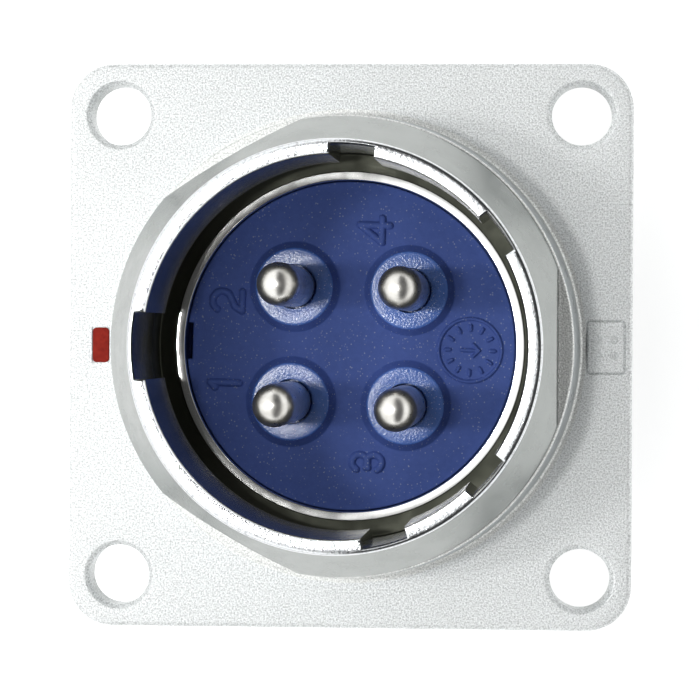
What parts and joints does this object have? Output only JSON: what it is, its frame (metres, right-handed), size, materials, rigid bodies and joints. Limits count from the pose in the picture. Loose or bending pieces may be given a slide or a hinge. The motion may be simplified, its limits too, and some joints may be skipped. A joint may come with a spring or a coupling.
{
  "type": "square-flange circular connector receptacle",
  "caption": "Panel receptacle of a circular power connector: square flange, tapered metal barrel with key notches, blue insert and ball-nosed pins; solder cups behind.",
  "frame": {"origin": "on the mating axis, in the plane of the flange's rear face, which lies on the panel", "axes": "+Z along the mating axis towards the plug; the main key and the index mark lie at -X; the flange's sides are parallel to X and Y"},
  "size_m": [0.034, 0.034, 0.03],
  "materials": {
    "plated_shell": "die-cast zinc alloy, satin plated; blasted flange, smooth barrel",
    "blue_insulator": "moulded thermoset, dull, with fine pale specks",
    "black_rubber": "matt",
    "silver_contact": "silver-plated brass, bright",
    "spring_steel": "zinc-plated spring steel",
    "red_enamel": "enamel fill"
  },
  "bodies": {
    "root": {"flange": "plated_shell", "front_barrel": "plated_shell", "rear_barrel": "plated_shell", "front_insulator": "blue_insulator", "insulator_gasket": "black_rubber", "rear_insulator": "blue_insulator", "shell_seal": "black_rubber", "contact_pin_1": "silver_contact", "contact_pin_2": "silver_contact", "contact_pin_3": "silver_contact", "contact_pin_4": "silver_contact", "contact_clip_1": "spring_steel", "contact_clip_2": "spring_steel", "contact_clip_3": "spring_steel", "contact_clip_4": "spring_steel", "thrust_washer": "spring_steel", "retaining_ring": "spring_steel", "index_mark": "red_enamel"}
  },
  "joints": []
}
